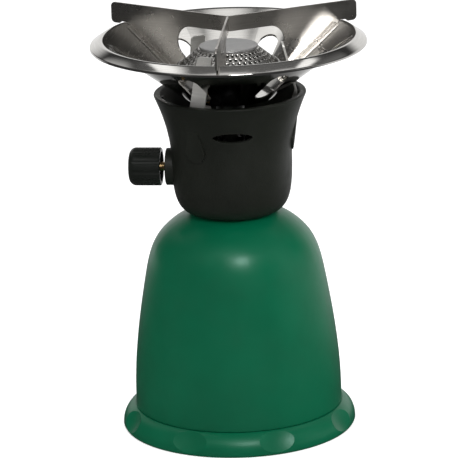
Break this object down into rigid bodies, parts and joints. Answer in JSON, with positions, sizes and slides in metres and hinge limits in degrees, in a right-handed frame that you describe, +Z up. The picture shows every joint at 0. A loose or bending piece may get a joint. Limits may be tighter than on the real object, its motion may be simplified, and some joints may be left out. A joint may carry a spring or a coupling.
{
  "type": "cartridge gas stove",
  "caption": "Upright tabletop gas stove: bell housing round a pierceable cartridge, screw base, side valve knob, perforated burner in a flared steel dish and a three-arm pan support.",
  "frame": {"origin": "on the stove's vertical axis, in the plane it stands on", "axes": "+Z up the stove's axis, -X towards the valve knob, -Y to the front, where the single pan-support blade points"},
  "size_m": [0.1374, 0.1401, 0.2106],
  "materials": {
    "green_plastic": "moulded plastic with a soft satin surface",
    "black_plastic": "black heat-resistant moulding, satin",
    "can_paint": "painted tinplate",
    "polished_steel": "bright stainless sheet, polished",
    "satin_steel": "stainless sheet with a fine satin grain",
    "strip_steel": "plated strip, light satin",
    "burner_steel": "perforated stainless sheet",
    "cap_alloy": "matt light metal",
    "zinc_steel": "zinc-plated steel",
    "die_cast": "dark grey die casting",
    "brass": "machined brass",
    "needle_steel": "hardened steel",
    "rubber": "soft black rubber"
  },
  "bodies": {
    "base": {"base_ring": "green_plastic"},
    "cartridge": {"cartridge_shell": "can_paint", "cartridge_bottom": "can_paint"},
    "head": {"bell_housing": "green_plastic", "shroud": "black_plastic", "valve_body": "die_cast", "valve_washer": "zinc_steel", "valve_nut": "zinc_steel", "piercing_needle": "needle_steel", "cartridge_seal": "rubber", "gland_nut": "brass", "jet_nozzle": "brass", "mixing_tube": "zinc_steel", "burner_base": "burner_steel", "burner_nut": "zinc_steel", "burner_screen": "burner_steel", "burner_cap": "cap_alloy", "dish": "polished_steel", "leg_front": "strip_steel", "leg_right": "strip_steel", "leg_rear": "strip_steel", "leg_screws": "zinc_steel", "pan_support_vee": "satin_steel", "pan_support_blade": "satin_steel"},
    "packing": {"spindle_ring": "rubber"},
    "valve": {"valve_spindle": "brass", "knob": "black_plastic"}
  },
  "joints": [
    {"name": "base_turn", "type": "hinge", "parent": "base", "child": "cartridge", "pos_m": [0, 0, 0.004], "axis": [0, 0, 1], "range_deg": [0, 720]},
    {"name": "head_rise", "type": "slide", "parent": "cartridge", "child": "head", "axis": [0, 0, 1], "range_m": [0, 0.008]},
    {"name": "valve_turn", "type": "hinge", "parent": "head", "child": "packing", "pos_m": [-0.017, 0, 0.1336], "axis": [-1, 0, 0], "range_deg": [0, 540]},
    {"name": "spindle_travel", "type": "slide", "parent": "packing", "child": "valve", "axis": [-1, 0, 0], "range_m": [0, 0.00112]}
  ],
  "couplings": [
    {"joint": "head_rise", "follows": "base_turn", "m_per_rad": 0.00063662},
    {"joint": "spindle_travel", "follows": "valve_turn", "m_per_rad": 0.00011936}
  ]
}
